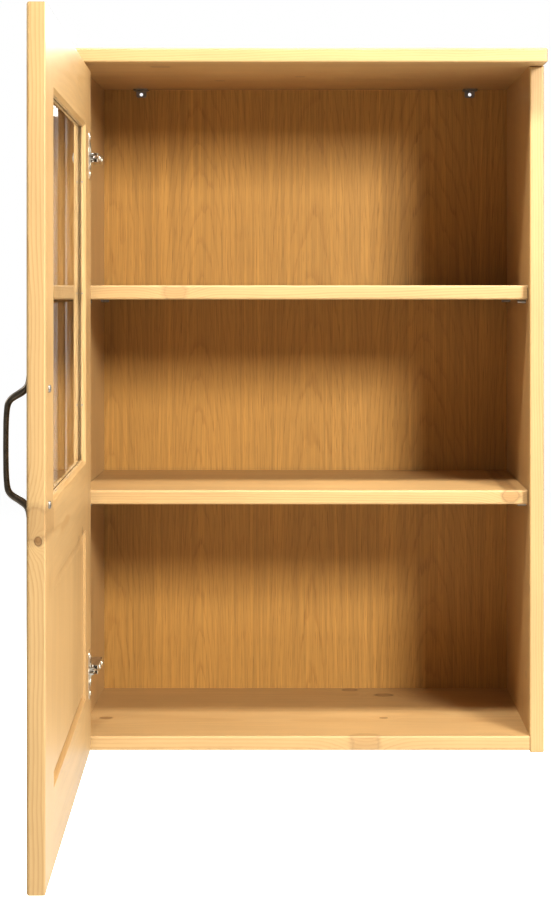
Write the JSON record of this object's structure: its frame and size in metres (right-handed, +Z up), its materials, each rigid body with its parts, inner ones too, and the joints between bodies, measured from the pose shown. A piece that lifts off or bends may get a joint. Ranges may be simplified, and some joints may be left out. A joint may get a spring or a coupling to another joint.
{
  "type": "hanging wall cabinet",
  "caption": "Solid pine wall cabinet with shelves and one glazed and panelled door on concealed cup hinges, hung from steel brackets under its top.",
  "frame": {"origin": "middle of the top board's back edge, on the wall plane", "axes": "+Y into the wall, +X to the right when facing the cabinet, +Z up"},
  "size_m": [0.6, 0.9091, 0.8773],
  "materials": {
    "pine": "clear satin lacquer on pine",
    "oak_veneer": "veneered sheet, satin",
    "beech": "bare fluted dowel",
    "zinc_steel": "bright zinc plating",
    "nickel_steel": "satin nickel plating",
    "antique_bronze": "dark antique bronze with rubbed highlights",
    "clear_glass": "clear float glass"
  },
  "bodies": {
    "carcass": {"back_panel": "oak_veneer", "bottom_board": "pine", "bracket_screws": "zinc_steel", "carcass_dowels": "beech", "hinge_arm_pins": "nickel_steel", "hinge_arm_screws": "nickel_steel", "hinge_plate_screws": "nickel_steel", "left_hanging_bracket": "zinc_steel", "left_side": "pine", "lower_hinge_arm": "nickel_steel", "lower_hinge_plate": "nickel_steel", "lower_shelf": "pine", "lower_shelf_pins": "zinc_steel", "right_hanging_bracket": "zinc_steel", "right_side": "pine", "top_board": "pine", "upper_hinge_arm": "nickel_steel", "upper_hinge_plate": "nickel_steel", "upper_shelf": "pine", "upper_shelf_pins": "zinc_steel"},
    "inner_links": {"hinge_inner_links": "nickel_steel"},
    "outer_links": {"hinge_outer_links": "nickel_steel"},
    "door": {"bead_nails": "zinc_steel", "door_bottom_rail": "pine", "door_dowels": "beech", "door_free_stile": "pine", "door_glass": "clear_glass", "door_handle": "antique_bronze", "door_hinge_stile": "pine", "door_middle_rail": "pine", "door_panel": "pine", "door_top_rail": "pine", "glazing_bead_bottom": "pine", "glazing_bead_free_side": "pine", "glazing_bead_hinge_side": "pine", "glazing_bead_top": "pine", "handle_screws": "zinc_steel", "hinge_cup_pins": "nickel_steel", "hinge_cup_screws": "nickel_steel", "level_glazing_bar": "pine", "lower_hinge_cup": "nickel_steel", "upper_hinge_cup": "nickel_steel", "upright_glazing_bar": "pine"}
  },
  "joints": [
    {"name": "inner_link_pivot", "type": "hinge", "parent": "carcass", "child": "inner_links", "pos_m": [-0.26606, -0.30413, -0.1233], "axis": [0, 0, 1], "range_deg": [-47.4, 0]},
    {"name": "door_swing", "type": "hinge", "parent": "inner_links", "child": "door", "pos_m": [-0.2701, -0.32617, -0.1233], "axis": [0, 0, 1], "range_deg": [0, 134.9]},
    {"name": "outer_link_pivot", "type": "hinge", "parent": "carcass", "child": "outer_links", "pos_m": [-0.26349, -0.31224, -0.1233], "axis": [0, 0, 1], "range_deg": [-36.4, 0]}
  ],
  "couplings": [
    {"joint": "inner_link_pivot", "follows": "door_swing", "ratio": -0.35064},
    {"joint": "outer_link_pivot", "follows": "door_swing", "ratio": -0.26907}
  ]
}
